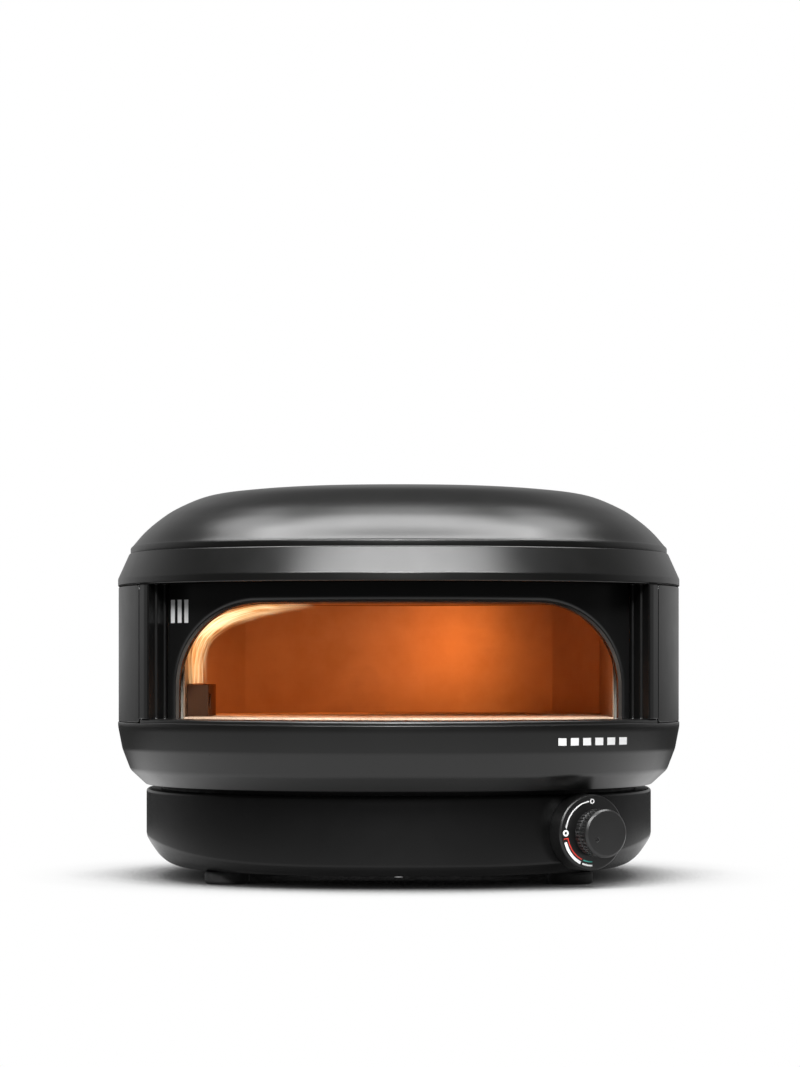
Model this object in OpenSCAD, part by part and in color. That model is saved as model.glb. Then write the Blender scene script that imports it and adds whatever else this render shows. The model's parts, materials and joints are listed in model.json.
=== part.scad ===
// Countertop pizza oven, gas fired.
// Origin: bottom centre of the bounding box. +X right, +Y to the back, +Z up. The mouth faces -Y.
// Millimetres.

/* [Body] */
// Overall width
body_w = 480; // [470:1:490]
// Overall depth
body_d = 563; // [555:1:570]
// Height of the top of the dome
dome_top_z = 331; // [330:1:334]
// Roundness of the plan outline (2 is an ellipse)
plan_power = 2.3; // [2.2:0.05:2.4]
// Sheet thickness of the outer shells
skin = 2; // [1.6:0.1:2.4]

/* [Mouth] */
// Half width of the arch opening
mouth_half_w = 180; // [176:1:182]
// Height of the top of the arch
mouth_top_z = 230; // [226:1:232]
// Radius of the arch corners
mouth_r = 68; // [60:1:72]
// Plan radius of the recessed front
fascia_r = 260; // [258:1:264]
// Depth of the recessed front behind the body's front, at the middle
fascia_setback = 50; // [48:1:52]

/* [Stone] */
// Thickness of the pizza stone
stone_t = 20; // [15:1:20]
// Height of the top of the stone
stone_top_z = 136.6; // [136:0.1:137]

/* [Control] */
// Radius of the dial boss
boss_r = 30.8; // [30:0.1:31]
// Diameter of the knob
knob_d = 39.2; // [38:0.1:40]
// How far the knob pushes in
push_travel = 3; // [2:0.5:3]

/* [Base] */
// Height of the feet
foot_h = 10.5; // [10:0.5:11]
// Diameter of each foot
foot_d = 37; // [34:1:38]

/* [Hidden] */
half_w = body_w / 2;
half_d = body_d / 2;
ring_steps = 56;
sheet = 1.2;
gap = 0.3;
wire_sides = 10;

// Heights of the body, from the bottom up
base_top_z = 75;
neck_top_z = 80.5;
pan_top_z = neck_top_z + gap + skin;
tray_t = 2.4;
tray_z = stone_top_z - stone_t - gap - tray_t;
chamber_foot_z = tray_z + tray_t + 0.1;
lip_z = 131.5;
sill_z = 135.3;
wall_top_z = 246;
band_top_z = 274;
seam_top_z = 279;
roof_edge_z = 234;

// Where the side shell ends and the front frame starts
seam_x = 213;
seam_y = -150;
post_x = 205;
step_w = 8;
step_d = 6;
fascia_x = post_x - 2 * step_w + 0.5;
fascia_cy = -half_d + fascia_setback + fascia_r;

// Plan of the cooking chamber
chamber_x = 178;
corner_y = 86;
corner_x = 140;
rear_corner_y = 150;
rear_r = 205.7;
rear_cy = -0.7;
front_wall_r = fascia_r - 30;
roof_front_r = front_wall_r - sheet - 0.2;

// The dial stands on the base's right front, turned outward
dial_pos = [156, -207.5, 44.4];
dial_turn = 30;
knob_base = push_travel + 0.6;
knob_len = 18;
pointer_angle = 208;

// The rear gas inlet, a 3/8 inch outside thread
inlet_pos = [60, 0, 44.4];
inlet_y = half_d - 6;
inlet_thread_r = 8.3;
inlet_thread_len = 13;

// The burner at the left of the stone
burner_x = -177.4;
burner_w = 17.4;
burner_y = -80;
burner_len = 130;
burner_top_z = 163;

post_spots = [[197, -95], [-197, -95], [184, 130], [-184, 130]];
foot_spots = [[141, -151], [-141, -151], [141, 151], [-141, 151]];
skirt_screw_spots = [[90, -170], [-90, -170], [90, 180], [-90, 180], [165, 0], [-150, 20]];
base_screw_spots = [[0, -215], [0, 215], [168, 0], [-168, 0]];
deck_hole = [-60, 0];

// ---------------------------------------------------------------- outlines and lofts

// A signed power, which keeps each quadrant of the superellipse on its own side
function spow(v, p) = sign(v) * pow(abs(v), p);

// One point of the plan outline with half sizes a and b
function plan_point(a, b, t) =
    [a * spow(cos(t), 2 / plan_power), b * spow(sin(t), 2 / plan_power)];

// The y of the front half of the plan outline at a given x
function plan_front_y(x, a, b) = -b * pow(1 - pow(abs(x) / a, plan_power), 1 / plan_power);

function plan_outline(inset = 0) =
    [for (i = [0 : ring_steps - 1]) plan_point(half_w - inset, half_d - inset, 360 * i / ring_steps)];

// A level ring of points
function ring(a, b, z) =
    [for (i = [0 : ring_steps - 1]) let (p = plan_point(a, b, 360 * i / ring_steps)) [p.x, p.y, z]];

// A ring whose height rises from the front and back to the sides
function wavy_ring(a, b, z, z_side) =
    [for (i = [0 : ring_steps - 1])
        let (t = 360 * i / ring_steps, p = plan_point(a, b, t))
        [p.x, p.y, z + (z_side - z) * pow(abs(cos(t)), 2)]];

// A closed solid through a list of rings, with a cap at each end, or joined end to end when looped.
// A shell runs from its inner cap down to the rim and up again to its outer cap.
module loft(rings, looped = false) {
    n = len(rings[0]);
    count = len(rings);
    last = looped ? count : count - 1;
    points = [for (r = rings) each r];
    sides = [
        for (j = [0 : last - 1], i = [0 : n - 1])
            let (k = (i + 1) % n, a = j * n, b = ((j + 1) % count) * n)
            each [[a + i, b + i, a + k], [a + k, b + i, b + k]]
    ];
    caps = looped ? [] : [[for (i = [0 : n - 1]) i], [for (i = [n - 1 : -1 : 0]) (count - 1) * n + i]];
    polyhedron(points = points, faces = concat(sides, caps), convexity = 8);
}

// Rings for a profile of [inset, z] points
function profile_rings(profile) = [for (p = profile) ring(half_w - p[0], half_d - p[0], p[1])];

// A flat plate with the plan's outline
module plan_plate(inset, z, t) {
    translate([0, 0, z])
        linear_extrude(t) polygon(plan_outline(inset));
}

// The upright band between two insets
module plan_band(inset, t, z0, z1) {
    translate([0, 0, z0])
        linear_extrude(z1 - z0)
            difference() {
                polygon(plan_outline(inset));
                polygon(plan_outline(inset + t));
            }
}

// The front part of an upright cylinder wall, parallel to the fascia
module front_arc(r, t, x, z0, z1) {
    intersection() {
        translate([0, fascia_cy, z0])
            difference() {
                cylinder(r = r, h = z1 - z0, $fn = 128);
                translate([0, 0, -1]) cylinder(r = r - t, h = z1 - z0 + 2, $fn = 128);
            }
        translate([-x, -half_d, z0 - 1]) cube([2 * x, half_d - 40, z1 - z0 + 2]);
    }
}

// The arch shape, cut along Y
module arch_prism(grow, y0, y1, z0) {
    w = mouth_half_w + grow;
    top = mouth_top_z + grow;
    r = mouth_r + grow;
    translate([0, y1, 0]) rotate([90, 0, 0])
        linear_extrude(y1 - y0) {
            translate([-w, z0]) square([2 * w, top - r - z0]);
            translate([r - w, z0]) square([2 * (w - r), top - z0]);
            translate([r - w, top - r]) circle(r = r, $fn = 96);
            translate([w - r, top - r]) circle(r = r, $fn = 96);
        }
}

// Half outline of the chamber wall's plan, moved outward by grow, from front to rear centre
function chamber_half(grow, y_front) = concat(
    [[chamber_x + grow, y_front], [chamber_x + grow, corner_y + 0.3 * grow]],
    [for (i = [0 : 8])
        let (r = rear_r + grow, a0 = atan2(rear_corner_y - rear_cy, corner_x), a = a0 + (90 - a0) * i / 8)
        [r * cos(a), rear_cy + r * sin(a)]]
);

function mirrored(points) = [for (i = [len(points) - 1 : -1 : 0]) [-points[i].x, points[i].y]];

// The whole outline of the chamber, closed at the front by an arc parallel to the fascia
function chamber_outline(grow, front_r) =
    let (
        w = chamber_x + grow,
        half = chamber_half(grow, fascia_cy - sqrt(front_r * front_r - w * w)),
        edge = asin(w / front_r)
    )
    concat(half, mirrored(half), [for (i = [1 : 15])
        let (a = -90 - edge + 2 * edge * i / 16) [front_r * cos(a), fascia_cy + front_r * sin(a)]]);

function chamber_ring(grow, z) =
    [for (p = chamber_outline(grow, roof_front_r + min(grow, 0))) [p.x, p.y, z]];

// A flat plate or block with the chamber's outline
module chamber_block(grow, front_r, z, t) {
    translate([0, 0, z]) linear_extrude(t) polygon(chamber_outline(grow, front_r));
}

module chamber_plan(grow, y_front) {
    half = chamber_half(grow, y_front);
    polygon(concat(half, mirrored(half)));
}

// An upright wall that follows the chamber, open at the front
module chamber_band(grow, t, y_front, z0, z1) {
    translate([0, 0, z0])
        linear_extrude(z1 - z0)
            difference() {
                chamber_plan(grow + t, y_front);
                chamber_plan(grow, y_front - 2);
            }
}

// Softens the corners of a route: each inner point becomes a short curve that starts and ends at `bend`
function rounded(points, bend) = concat(
    [points[0]],
    [for (i = [1 : len(points) - 2])
        let (p = points[i], u = unit(points[i - 1] - p), v = unit(points[i + 1] - p))
        for (s = [0 : 0.25 : 1])
            p + bend * (u * (1 - s) * (1 - s) + v * s * s)],
    [points[len(points) - 1]]
);

function unit(v) = v / norm(v);

// The direction of a route at its point i
function heading(points, i) =
    unit(points[min(i + 1, len(points) - 1)] - points[max(i - 1, 0)]);

// A vector square to d, carried along the route so that the tube doesn't twist
function carried(points, i) =
    i == 0
        ? unit(cross(heading(points, 0), abs(heading(points, 0).z) > 0.8 ? [1, 0, 0] : [0, 0, 1]))
        : let (before = carried(points, i - 1), d = heading(points, i)) unit(before - d * (before * d));

// A solid round tube or wire along a route
module swept(points, r, sides = wire_sides) {
    n = len(points);
    skin_points = [
        for (i = [0 : n - 1])
            let (d = heading(points, i), u = carried(points, i), v = cross(d, u))
            for (j = [0 : sides - 1])
                points[i] + r * (u * cos(360 * j / sides) + v * sin(360 * j / sides))
    ];
    walls = [
        for (i = [0 : n - 2], j = [0 : sides - 1])
            let (k = (j + 1) % sides, a = i * sides, b = a + sides)
            each [[a + j, b + j, a + k], [a + k, b + j, b + k]]
    ];
    ends = [[for (j = [0 : sides - 1]) j], [for (j = [sides - 1 : -1 : 0]) (n - 1) * sides + j]];
    polyhedron(points = skin_points, faces = concat(walls, ends), convexity = 6);
}

// A pan-head screw, head up, shank down from the origin
module screw(head_r, head_h, shank_r, shank_len) {
    difference() {
        union() {
            cylinder(r = head_r, h = head_h, $fn = 24);
            translate([0, 0, -shank_len]) cylinder(r = shank_r, h = shank_len, $fn = 24);
        }
        translate([0, 0, head_h / 2]) cylinder(r = head_r / 2, h = head_h, $fn = 6);
    }
}

// Places children on the dial's axis: local Z runs outward, local Y is up
module at_dial() {
    translate(dial_pos) rotate([90, 0, dial_turn]) children();
}

// ---------------------------------------------------------------- outer shells

module dome_cover() {
    color("#3a3a3a")
        loft(concat(
            [for (i = [len(dome_profile) - 1 : -1 : 0])
                let (k = dome_profile[i])
                ring(k[0] - dome_skin(i), k[1] - dome_skin(i), k[2] - (i == 0 ? 0 : skin))],
            [for (k = dome_profile) ring(k[0], k[1], k[2])]
        ));
}
// Half width, half depth and height of the dome's outer rings, from the rim up
dome_profile = [
    [229.5, 271, 274.5], [229, 270.5, seam_top_z], [226.8, 268.4, 281], [218.3, 260, 291], [207, 249, 301],
    [191.4, 232.9, 311.5], [167, 208.5, 321.8], [140, 181.5, 325.9], [105, 141.3, dome_top_z - 2.6],
    [58, 78, dome_top_z - 0.8], [20, 27, dome_top_z]
];
function dome_skin(i) = i < 2 ? skin : (i < 6 ? skin * 0.7 : 0.4);

module shoulder_band() {
    color("#2b2b2b")
        loft(profile_rings([
            [0, wall_top_z], [0, 252.5], [10, band_top_z], [12.5, band_top_z], [12.5, band_top_z - 2],
            [skin + 0.2, 252], [skin + 0.2, wall_top_z + 2], [skin + 6, wall_top_z + 2],
            [skin + 6, wall_top_z]
        ]), looped = true);
    color("#2b2b2b") visor_roof();
}
// The underside of the visor, from the band back to the fascia
module visor_roof() {
    difference() {
        intersection() {
            plan_plate(skin + 6, wall_top_z, skin);
            translate([-post_x, -half_d, wall_top_z - 1]) cube([2 * post_x, half_d, 4]);
        }
        translate([0, fascia_cy, wall_top_z - 1]) cylinder(r = fascia_r - 4, h = 4, $fn = 128);
    }
}

module side_shell() {
    color("#303030")
        difference() {
            plan_band(0.4, skin, lip_z, wall_top_z);
            translate([-half_w, -half_d - 1, lip_z - 1])
                cube([2 * half_w, half_d + 1 + seam_y, wall_top_z]);
            at_shell_screws() translate([0, 0, -9]) cylinder(r = 1.9, h = 12, $fn = 24);
        }
}

// One side's post: its outer skin and the stepped reveal down to the fascia
module frame_post() {
    steps = [[post_x, -165], [post_x, -165 + step_d], [post_x - step_w, -165 + step_d],
        [post_x - step_w, -165 + 2 * step_d], [fascia_x, -165 + 2 * step_d]];
    translate([0, 0, sill_z])
        linear_extrude(wall_top_z - sill_z)
            polygon(concat(
                [[seam_x, seam_y - 0.5], [210, -158.5]], steps,
                [[fascia_x, -149], [post_x - step_w + 3, -147], [post_x + 2, -154],
                    [seam_x - 3.4, seam_y - 0.6]]
            ));
}
module front_frame() {
    color("#1c1c1c") frame_post();
    color("#1c1c1c") mirror([1, 0, 0]) frame_post();
}

module fascia_panel() {
    color("#161616")
        difference() {
            front_arc(fascia_r, skin, fascia_x, sill_z, wall_top_z);
            arch_prism(0, -half_d, -60, sill_z - 5);
        }
}

module lower_skirt() {
    color("#2e2e2e")
        loft(profile_rings([
            [0, lip_z], [0, 126], [5, 109], [11, 90.5], [24, 78.5], [26, neck_top_z + gap],
            [42, neck_top_z + gap], [42, neck_top_z + skin], [25, neck_top_z + skin], [13.4, 92],
            [7.2, 109.5], [2.2, 126.5], [2.2, lip_z]
        ]), looped = true);
}

module sill_plate() {
    color("#1a1a1a")
        difference() {
            union() {
                plan_plate(0, lip_z, sill_z - lip_z - 1);
                plan_plate(1, lip_z, sill_z - lip_z);
            }
            translate([0, fascia_cy, lip_z - 1]) cylinder(r = fascia_r - 8, h = 6, $fn = 128);
            translate([-half_w - 1, seam_y, lip_z - 1]) cube([body_w + 2, body_d, 6]);
        }
}

// ---------------------------------------------------------------- base

module base_housing() {
    color("#1e1e1e")
        difference() {
            loft(concat(
                [for (i = [len(base_outer) - 1 : -1 : 0])
                    let (k = base_outer[i]) wavy_ring(k[0] - k[4], k[1] - k[4], k[2] - k[5], k[3] - k[5])],
                [for (k = base_outer) wavy_ring(k[0], k[1], k[2], k[3])]
            ));
            at_dial() translate([0, 0, -34]) cylinder(r = boss_r + 0.2, h = 60, $fn = 64);
            translate([inlet_pos.x, 210, inlet_pos.z])
                rotate([-90, 0, 0]) cylinder(r = 11, h = 50, $fn = 48);
            translate([deck_hole.x, deck_hole.y, base_top_z - 5]) cylinder(r = 16, h = 10, $fn = 48);
        }
}
// Half width, half depth, height at the front, height at the sides, inward and downward skin
base_outer = [
    [194, 235, foot_h, foot_h, skin, 0], [205, 236.5, 13, 19, skin, 0], [212.5, 238.5, 15.5, 29, skin, 0],
    [216, 240, 18, 36.5, skin, 0], [216, 240, base_top_z - 1.5, base_top_z - 1.5, skin, 0.4],
    [215, 239, base_top_z - 0.3, base_top_z - 0.3, skin, 1.6],
    [213.5, 237.5, base_top_z, base_top_z, skin, skin]
];

module base_plate() {
    color("#262626")
        difference() {
            translate([0, 0, foot_h])
                linear_extrude(1.6)
                    polygon([for (i = [0 : ring_steps - 1]) plan_point(190.5, 231.5, 360 * i / ring_steps)]);
            for (row = [-1, 1], i = [-6 : 6])
                translate([i * 14 - 3, row * 60 - 25, foot_h - 1]) cube([6, 50, 4]);
            for (p = foot_spots) translate([p.x, p.y, foot_h - 1]) cylinder(r = 2.6, h = 4, $fn = 24);
            for (p = base_screw_spots) translate([p.x, p.y, foot_h - 1]) cylinder(r = 1.9, h = 4, $fn = 24);
        }
}

module neck_ring() {
    color("#111111")
        translate([0, 0, base_top_z])
            linear_extrude(neck_top_z - base_top_z)
                difference() {
                    polygon([for (i = [0 : ring_steps - 1]) plan_point(203, 228, 360 * i / ring_steps)]);
                    polygon([for (i = [0 : ring_steps - 1]) plan_point(185, 210, 360 * i / ring_steps)]);
                }
}

module foot(spot) {
    color("#151515")
        translate([spot.x, spot.y, 0])
            difference() {
                rotate_extrude($fn = 64)
                    polygon([[0, 0], [foot_d / 2 - 1.5, 0], [foot_d / 2, 1.5], [foot_d / 2, foot_h - 1],
                        [foot_d / 2 - 1, foot_h], [0, foot_h]]);
                translate([0, 0, -1]) cylinder(r = 5, h = 5, $fn = 32);
                translate([0, 0, -1]) cylinder(r = 2.6, h = foot_h + 2, $fn = 24);
            }
}
module foot_front_right() { foot(foot_spots[0]); }
module foot_front_left() { foot(foot_spots[1]); }
module foot_rear_right() { foot(foot_spots[2]); }
module foot_rear_left() { foot(foot_spots[3]); }

module foot_screws() {
    color("silver")
        for (p = foot_spots)
            translate([p.x, p.y, 4]) mirror([0, 0, 1]) screw(4.4, 2.4, 2.2, 9.4);
}

// ---------------------------------------------------------------- cooking chamber

module throat() {
    color("#6a5a4a")
        difference() {
            intersection() {
                difference() {
                    arch_prism(0, -half_d, -100, sill_z + 0.2);
                    arch_prism(-sheet, -half_d - 1, -99, sill_z - 1);
                }
                translate([0, fascia_cy, sill_z]) cylinder(r = fascia_r - skin - 0.1, h = 110, $fn = 128);
            }
            translate([0, fascia_cy, sill_z - 1]) cylinder(r = front_wall_r - sheet, h = 112, $fn = 128);
        }
}

module mouth_gasket() {
    color("#d8d2c4")
        difference() {
            front_arc(fascia_r - skin, 3, fascia_x - 1, sill_z, mouth_top_z + 9);
            arch_prism(0.1, -half_d, -60, sill_z - 5);
            difference() {
                translate([-half_w, -half_d, sill_z - 1]) cube([body_w, half_d, 130]);
                arch_prism(7, -half_d, -60, sill_z - 5);
            }
        }
}

module chamber_front() {
    color("#8a8078")
        difference() {
            front_arc(front_wall_r, sheet, chamber_x, sill_z, roof_edge_z + 8);
            arch_prism(0.1, -half_d, -40, sill_z - 5);
        }
}

module chamber_wall() {
    color("#9a8f85") chamber_band(0, sheet, -112, chamber_foot_z, roof_edge_z);
}

module roof_liner() {
    color("#8c8279")
        loft([
            chamber_ring(-59, 260.8), chamber_ring(-24.5, 254.7), chamber_ring(-5.2, 246),
            chamber_ring(0, roof_edge_z + gap), chamber_ring(sheet, roof_edge_z + gap),
            chamber_ring(-4, 247), chamber_ring(-25, 256), chamber_ring(-60, 262)
        ]);
}

module roof_insulation() {
    color("#efe6cf")
        loft([
            chamber_ring(-60, 264), chamber_ring(-25, 258.2), chamber_ring(-4, 249.2), chamber_ring(0, 251),
            chamber_ring(0, 268), chamber_ring(-14, 281), chamber_ring(-60, 286)
        ]);
}

module wall_insulation() {
    color("#efe6cf") chamber_band(sheet + gap, 12, -100, chamber_foot_z, roof_edge_z - 2);
}

module floor_insulation() {
    color("#efe6cf")
        difference() {
            chamber_block(-2, fascia_r - 20, insulation_z, tray_z - insulation_z - gap);
            burner_slot(3);
        }
}
insulation_z = 97;

module stone_tray() {
    color("#77706a")
        difference() {
            chamber_block(8, fascia_r - 6, tray_z, tray_t);
            burner_slot(2.5);
        }
}

module pizza_stone() {
    color("#d9b48f")
        difference() {
            chamber_block(-1.5, fascia_r - 10, stone_top_z - stone_t, stone_t);
            burner_slot(2.5);
        }
}
// The space that the burner and its igniter need through the floor and the stone
module burner_slot(clear) {
    translate([-230, burner_y - clear, shield_z - 5])
        cube([burner_x + burner_w + clear + 230, burner_len + igniter_len + 2 * clear, 100]);
}
igniter_len = 22;
shield_z = 93;

module heat_shield() {
    color("#b8b8b8")
        difference() {
            chamber_block(-6, fascia_r - 24, shield_z, 1);
            burner_slot(4);
        }
}

module floor_pan() {
    color("#8f8f8f")
        difference() {
            union() {
                plan_plate(44, neck_top_z + gap, skin);
                for (p = pan_posts)
                    translate([p.x, p.y, pan_top_z]) cylinder(r = 4, h = shield_z - pan_top_z, $fn = 32);
            }
            translate([deck_hole.x, deck_hole.y, neck_top_z - 5]) cylinder(r = 16, h = 12, $fn = 48);
            translate([burner_x + 4, burner_y + 20, neck_top_z - 5]) cube([12, 80, 12]);
            for (p = skirt_screw_spots)
                translate([p.x, p.y, neck_top_z - 1]) cylinder(r = 2.1, h = 8, $fn = 24);
        }
}
pan_posts = [[120, -140], [-120, -140], [110, 110], [-110, 110]];

// Four uprights that stand on the skirt's flange and carry the shoulder band
module body_posts() {
    foot_z = neck_top_z + skin + 0.1;
    color("#9a9a9a")
        for (p = post_spots)
            translate([p.x, p.y, foot_z])
                difference() {
                    cylinder(r = 4, h = wall_top_z - foot_z - 0.1, $fn = 32);
                    translate([0, 0, 5]) cylinder(r = 2.8, h = 200, $fn = 32);
                }
}

// ---------------------------------------------------------------- burner and gas train

module burner_box() {
    color("#7b6a58")
        translate([burner_x, burner_y, 100])
            difference() {
                cube([burner_w, burner_len, burner_top_z - 100]);
                translate([sheet, sheet, -1])
                    cube([burner_w - 2 * sheet, burner_len - 2 * sheet, burner_top_z - 100 - sheet + 1]);
                for (i = [0 : 5])
                    translate([burner_w / 2, 12 + i * 18, burner_top_z - 100 - 5]) cube([8, 12, 10]);
                translate([burner_w - 3, 8, burner_top_z - 120]) cube([6, 34, 12]);
            }
}

module burner_tube() {
    x = burner_x + burner_w / 2;
    color("#a39b92")
        difference() {
            translate([x, burner_y + 6, 140])
                rotate([-90, 0, 0]) cylinder(r = 6.8, h = burner_len - 14, $fn = 48);
            translate([x, burner_y + 8, 140])
                rotate([-90, 0, 0]) cylinder(r = 5.8, h = burner_len, $fn = 48);
            for (i = [0 : 10])
                translate([x - 2, burner_y + 14 + i * 8, 144]) cube([4, 3, 8]);
            translate([x, burner_y + 60, 120]) cylinder(r = 5, h = 20, $fn = 32);
        }
}

module venturi() {
    x = burner_x + burner_w / 2;
    color("#a39b92")
        translate([x, burner_y + 60, 106])
            difference() {
                union() {
                    cylinder(r1 = 6.8, r2 = 5.8, h = 12, $fn = 32);
                    translate([0, 0, 12]) cylinder(r = 5.8, h = 14.9, $fn = 32);
                }
                translate([0, 0, -1]) cylinder(r = 4.6, h = 40, $fn = 32);
            }
}

module injector() {
    color("#c9a24a")
        translate([burner_x + burner_w / 2, burner_y + 60, 85])
            difference() {
                union() {
                    cylinder(r = 5, h = 7, $fn = 6);
                    translate([0, 0, 7]) cylinder(r1 = 3.6, r2 = 2.4, h = 7, $fn = 32);
                }
                translate([0, 0, -1]) cylinder(r = 0.7, h = 20, $fn = 16);
                translate([0, 0, -1]) cylinder(r = 2.2, h = 6, $fn = 24);
            }
}

// Where the valve sits behind the dial, along the dial's axis
function dial_point(x, y, z) =
    dial_pos + [x * cos(dial_turn) + z * sin(dial_turn), x * sin(dial_turn) - z * cos(dial_turn), y];
valve_front = -26;
valve_len = 34;

module supply_pipe() {
    start = dial_point(0, 14, valve_front - 24);
    x = burner_x + burner_w / 2;
    color("#c0c0c0")
        swept(rounded([start, start + [0, 0, 9], [-60, 0, start.z + 9], [-60, 0, 88.5],
            [x, burner_y + 46, 88.5], [x, burner_y + 55.6, 88.5]], 4), 2.6);
}

module valve_body() {
    color("#b5b0a6")
        at_dial()
            difference() {
                union() {
                    translate([0, 0, valve_front - valve_len]) cylinder(r = 11, h = valve_len, $fn = 48);
                    translate([-9, -9, valve_front - valve_len - 6]) cube([18, 18, 12]);
                    translate([0, 0, valve_front - 24])
                        rotate([-90, 0, 0]) cylinder(r = 4.5, h = 13.8, $fn = 32);
                }
                translate([0, 0, valve_front - valve_len + 6]) cylinder(r = 3.06, h = valve_len, $fn = 48);
                translate([0, 0, valve_front - 18]) cylinder(r = 8, h = 20, $fn = 48);
            }
}

module valve_bracket() {
    color("#8f8f8f")
        at_dial()
            difference() {
                union() {
                    translate([-16, -30, valve_front - 34.8]) cube([32, 46, 2]);
                    translate([-16, -30, valve_front - 34.8]) cube([32, 2, 24]);
                }
                translate([0, 0, valve_front - 40]) cylinder(r = 13.2, h = 12, $fn = 48);
            }
}

// A close-wound spring between the valve's floor and the push collar
module valve_spring() {
    turns = 4;
    per_turn = 14;
    length = 10.5;
    coil_r = 6;
    wire_r = 0.55;
    n = turns * per_turn;
    points = [
        for (i = [0 : n], j = [0 : 5])
            let (a = 360 * i / per_turn, b = 60 * j, r = coil_r + wire_r * cos(b))
            [r * cos(a), r * sin(a), (length - 2 * wire_r) * i / n + wire_r + wire_r * sin(b)]
    ];
    sides = [
        for (i = [0 : n - 1], j = [0 : 5])
            let (k = (j + 1) % 6, a = i * 6, b = a + 6)
            each [[a + j, a + k, b + j], [a + k, b + k, b + j]]
    ];
    color("#c8c8c8")
        at_dial() translate([0, 0, valve_front - 17.9])
            polyhedron(
                points = points,
                faces = concat(sides, [[5, 4, 3, 2, 1, 0], [for (j = [0 : 5]) n * 6 + j]])
            );
}

module push_collar() {
    color("#c9a24a")
        at_dial() translate([0, 0, valve_front - 7.2])
            difference() {
                cylinder(r = 7.7, h = 3.6, $fn = 48);
                translate([0, 0, -1]) cylinder(r = 3.05, h = 6, $fn = 48);
            }
}

module valve_spindle() {
    color("#c9a24a")
        at_dial() {
            difference() {
                translate([0, 0, valve_front - 21]) cylinder(r = 3, h = 57.4 + knob_base, $fn = 48);
                translate([2, -4, -14]) cube([4, 8, 34 + knob_base]);
            }
            translate([0, 0, valve_front - 3.5]) cylinder(r = 5, h = 2, $fn = 48);
        }
}

module inlet_pipe() {
    start = dial_point(0, 0, valve_front - valve_len - 6.3);
    color("#c0c0c0")
        swept(rounded([start, [start.x - 8, start.y + 14, start.z], [start.x - 8, 80, start.z],
            [inlet_pos.x, 165, inlet_pos.z], [inlet_pos.x, 224, inlet_pos.z]], 8), 4, 12);
}

module inlet_fitting() {
    color("#c9a24a")
        translate([inlet_pos.x, 0, inlet_pos.z]) rotate([-90, 0, 0])
            difference() {
                union() {
                    translate([0, 0, 220]) cylinder(r = 7.5, h = 18, $fn = 48);
                    translate([0, 0, 237.2]) cylinder(r = 14, h = 8, $fn = 6);
                    translate([0, 0, 243]) cylinder(r = 7.2, h = 22, $fn = 48);
                    translate([0, 0, inlet_y - inlet_thread_len])
                        cylinder(r = inlet_thread_r, h = inlet_thread_len, $fn = 64);
                }
                translate([0, 0, 219]) cylinder(r = 4.05, h = 6, $fn = 48);
                translate([0, 0, 224]) cylinder(r = 3, h = 60, $fn = 48);
            }
}

module inlet_nut() {
    color("#c9a24a")
        translate([inlet_pos.x, 221.5, inlet_pos.z]) rotate([-90, 0, 0])
            difference() {
                cylinder(r = 13, h = 7, $fn = 6);
                translate([0, 0, -1]) cylinder(r = 7.6, h = 9, $fn = 48);
            }
}

// ---------------------------------------------------------------- ignition and flame safety

electrode_y = burner_y + burner_len + 6;

module igniter_electrode() {
    color("#f2efe6")
        translate([burner_x + 9, electrode_y, 112])
            union() {
                cylinder(r = 3, h = 26, $fn = 32);
                translate([0, 0, 26]) cylinder(r1 = 2.4, r2 = 1.6, h = 4, $fn = 32);
                translate([0, 0, 30]) cylinder(r = 0.9, h = 12, $fn = 16);
            }
}

module thermocouple() {
    color("#c98f5a")
        translate([burner_x + 9, electrode_y + 10, 112])
            union() {
                cylinder(r = 2.4, h = 34, $fn = 32);
                translate([0, 0, 34]) cylinder(r1 = 2.4, r2 = 1.2, h = 3, $fn = 32);
            }
}

module igniter_bracket() {
    color("#8f8f8f")
        difference() {
            translate([burner_x, burner_y + burner_len + 0.2, 118]) cube([burner_w, igniter_len - 2, 1.5]);
            translate([burner_x + 9, electrode_y, 110]) cylinder(r = 3.05, h = 12, $fn = 32);
            translate([burner_x + 9, electrode_y + 10, 110]) cylinder(r = 2.45, h = 12, $fn = 32);
        }
}

piezo_pos = [20, -190, 30];

module piezo_unit() {
    color("#222222")
        translate(piezo_pos)
            union() {
                cube([26, 40, 20]);
                translate([5, 40, 6]) cube([4, 6, 8]);
            }
}

module igniter_lead() {
    color("#e8e2d0")
        swept(rounded([piezo_pos + [7, 46, 10], piezo_pos + [7, 60, 10], [-66, 4, 44], [-66, 4, 86.5],
            [burner_x + 9, electrode_y, 86.5], [burner_x + 9, electrode_y, 112]], 5), 1.4, 8);
}

module thermocouple_lead() {
    start = dial_point(-6, 0, valve_front - valve_len - 6.6);
    color("#c98f5a")
        swept(rounded([start, start + [-14, 12, 0], [-54, 7, start.z], [-54, 7, 90.5],
            [burner_x + 9, electrode_y + 10, 90.5], [burner_x + 9, electrode_y + 10, 112]], 5), 1.2, 8);
}

// ---------------------------------------------------------------- dial and knob

module dial_boss() {
    color("#141414")
        at_dial()
            difference() {
                union() {
                    translate([0, 0, -3]) cylinder(r = boss_r, h = 3, $fn = 96);
                    translate([0, 0, -24])
                        difference() {
                            cylinder(r = boss_r, h = 22, $fn = 96);
                            translate([0, 0, -1]) cylinder(r = boss_r - skin, h = 24, $fn = 96);
                        }
                }
                translate([0, 0, -5]) cylinder(r = 8, h = 10, $fn = 48);
            }
}

mark_t = 0.2;

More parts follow.
